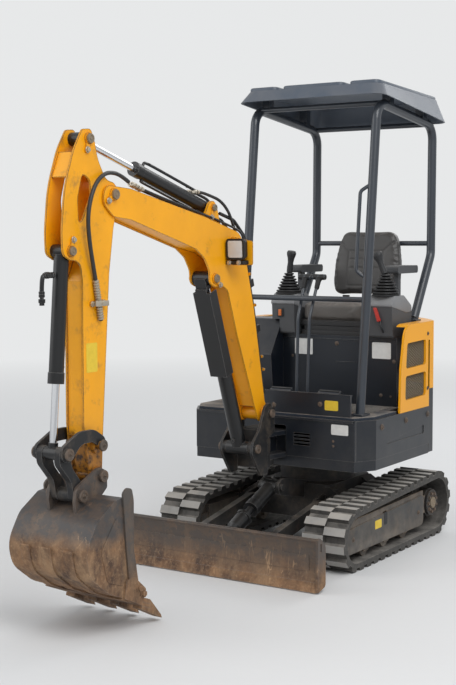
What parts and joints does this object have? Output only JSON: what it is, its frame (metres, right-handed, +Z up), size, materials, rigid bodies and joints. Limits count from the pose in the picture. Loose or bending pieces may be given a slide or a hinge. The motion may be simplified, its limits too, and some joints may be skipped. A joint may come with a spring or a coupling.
{
  "type": "mini excavator",
  "caption": "Tracked mini excavator with a four-post canopy, offset-swing boom, arm, toothed bucket, push blade and a short round-tailed house.",
  "frame": {"origin": "middle of the footprint of the whole machine, on the ground", "axes": "+Z up, -Y forward (the bucket's end), +X to the machine's left"},
  "size_m": [1.13, 2.7887, 2.336],
  "materials": {
    "yellow_paint": "gloss, worn at the edges",
    "black_paint": "satin, dusty",
    "gear_paint": "satin, muddy",
    "bare_steel": "worn and rusty",
    "rod_chrome": "polished",
    "track_rubber": "matt, dusty",
    "cast_metal": "rough",
    "dark_plastic": "fine grain",
    "seat_vinyl": "stitched vinyl",
    "lamp_plastic": "clear front in a dark case"
  },
  "bodies": {
    "undercarriage": {"car_body": "gear_paint", "slew_ring": "cast_metal", "track_frame_left": "gear_paint", "track_frame_right": "gear_paint", "sprocket_left": "cast_metal", "sprocket_right": "cast_metal", "track_left": "track_rubber", "track_right": "track_rubber"},
    "blade": {"blade_board": "bare_steel", "blade_edge": "bare_steel", "blade_arms": "gear_paint"},
    "blade_barrel": {"blade_cyl_barrel": "black_paint"},
    "blade_rod": {"blade_cyl_rod": "rod_chrome"},
    "house": {"deck_frame": "black_paint", "counterweight": "cast_metal", "front_cover": "black_paint", "side_skirt_left": "black_paint", "side_skirt_right": "black_paint", "engine_hood": "yellow_paint", "hood_grilles": "dark_plastic", "hood_top": "dark_plastic", "engine_block": "cast_metal", "seat_box": "black_paint", "right_cover": "black_paint", "floor_plate": "black_paint", "kick_panel": "black_paint", "seat_base": "black_paint", "seat_cushion": "seat_vinyl", "seat_back": "seat_vinyl", "console_left": "dark_plastic", "console_right": "dark_plastic", "joysticks": "dark_plastic", "floor_controls": "black_paint", "canopy_frame": "black_paint", "canopy_roof": "dark_plastic"},
    "swing_post": {"swing_bracket": "black_paint"},
    "boom": {"boom": "yellow_paint", "boom_pipes": "dark_plastic", "work_lamp": "lamp_plastic"},
    "boom_barrel": {"boom_cyl_barrel": "black_paint"},
    "boom_rod": {"boom_cyl_rod": "rod_chrome", "boom_cyl_guard": "black_paint"},
    "arm": {"arm": "yellow_paint"},
    "arm_barrel": {"arm_cyl_barrel": "black_paint"},
    "arm_rod": {"arm_cyl_rod": "rod_chrome"},
    "bucket": {"bucket_shell": "bare_steel", "bucket_teeth": "bare_steel"},
    "bucket_barrel": {"bucket_cyl_barrel": "black_paint"},
    "bucket_rod": {"bucket_cyl_rod": "rod_chrome"},
    "guide": {"guide_links": "gear_paint"},
    "link": {"bucket_link": "gear_paint"}
  },
  "joints": [
    {"name": "slew", "type": "hinge", "parent": "undercarriage", "child": "house", "pos_m": [0, 0.789, 0], "axis": [0, 0, 1], "continuous": true},
    {"name": "boom_swing", "type": "hinge", "parent": "house", "child": "swing_post", "pos_m": [0, 0.234, 0.565], "axis": [0, 0, 1], "range_deg": [-55, 60]},
    {"name": "boom_lift", "type": "hinge", "parent": "swing_post", "child": "boom", "pos_m": [0, 0.148, 0.738], "axis": [-1, 0, 0], "range_deg": [-82, 29]},
    {"name": "arm_turn", "type": "hinge", "parent": "boom", "child": "arm", "pos_m": [0, -1.011, 1.764], "axis": [1, 0, 0], "range_deg": [-78, 18]},
    {"name": "bucket_turn", "type": "hinge", "parent": "arm", "child": "bucket", "pos_m": [0, -1.13, 0.633], "axis": [1, 0, 0], "range_deg": [-60, 115]},
    {"name": "blade_lift", "type": "hinge", "parent": "undercarriage", "child": "blade", "pos_m": [0, 0.459, 0.235], "axis": [-1, 0, 0], "range_deg": [-14, 18]},
    {"name": "boom_cylinder_tilt", "type": "hinge", "parent": "swing_post", "child": "boom_barrel", "pos_m": [0, 0.019, 0.582], "axis": [-1, 0, 0], "range_deg": [-82.21, 29.08]},
    {"name": "boom_rod_slide", "type": "slide", "parent": "boom_barrel", "child": "boom_rod", "axis": [0, -0.3365, 0.9417], "range_m": [-0.25528, 0.09028]},
    {"name": "arm_cylinder_tilt", "type": "hinge", "parent": "boom", "child": "arm_barrel", "pos_m": [0, -0.268, 1.722], "axis": [1, 0, 0], "range_deg": [-8.14, 1.88]},
    {"name": "arm_rod_slide", "type": "slide", "parent": "arm_barrel", "child": "arm_rod", "axis": [0, -0.9601, 0.2796], "range_m": [-0.29456, 0.06798]},
    {"name": "bucket_cylinder_tilt", "type": "hinge", "parent": "arm", "child": "bucket_barrel", "pos_m": [0, -1.27, 1.538], "axis": [1, 0, 0], "range_deg": [-1.42, 2.72]},
    {"name": "bucket_rod_slide", "type": "slide", "parent": "bucket_barrel", "child": "bucket_rod", "axis": [0, -0.0896, -0.996], "range_m": [-0.11775, 0.22569]},
    {"name": "blade_cylinder_tilt", "type": "hinge", "parent": "undercarriage", "child": "blade_barrel", "pos_m": [0, 0.311, 0.343], "axis": [-1, 0, 0], "range_deg": [-17.4, 22.37]},
    {"name": "blade_rod_slide", "type": "slide", "parent": "blade_barrel", "child": "blade_rod", "axis": [0, -0.9207, -0.3902], "range_m": [-0.047, 0.03655]},
    {"name": "guide_turn", "type": "hinge", "parent": "arm", "child": "guide", "pos_m": [0, -1.132, 0.758], "axis": [1, 0, 0], "range_deg": [-38.57, 73.92]},
    {"name": "link_turn", "type": "hinge", "parent": "bucket", "child": "link", "pos_m": [0, -1.259, 0.572], "axis": [1, 0, 0], "range_deg": [-66.73, 34.82]}
  ],
  "couplings": [
    {"joint": "boom_cylinder_tilt", "follows": "boom_lift", "ratio": 1.0006},
    {"joint": "boom_rod_slide", "follows": "boom_lift", "m_per_rad": 0.17802},
    {"joint": "arm_cylinder_tilt", "follows": "arm_turn", "ratio": 0.1042},
    {"joint": "arm_rod_slide", "follows": "arm_turn", "m_per_rad": 0.21594},
    {"joint": "bucket_cylinder_tilt", "follows": "bucket_turn", "ratio": 0.0236},
    {"joint": "bucket_rod_slide", "follows": "bucket_turn", "m_per_rad": 0.11222},
    {"joint": "blade_cylinder_tilt", "follows": "blade_lift", "ratio": 1.2401},
    {"joint": "blade_rod_slide", "follows": "blade_lift", "m_per_rad": -0.1493},
    {"joint": "guide_turn", "follows": "bucket_turn", "ratio": 0.6415},
    {"joint": "link_turn", "follows": "bucket_turn", "ratio": -0.5791}
  ]
}
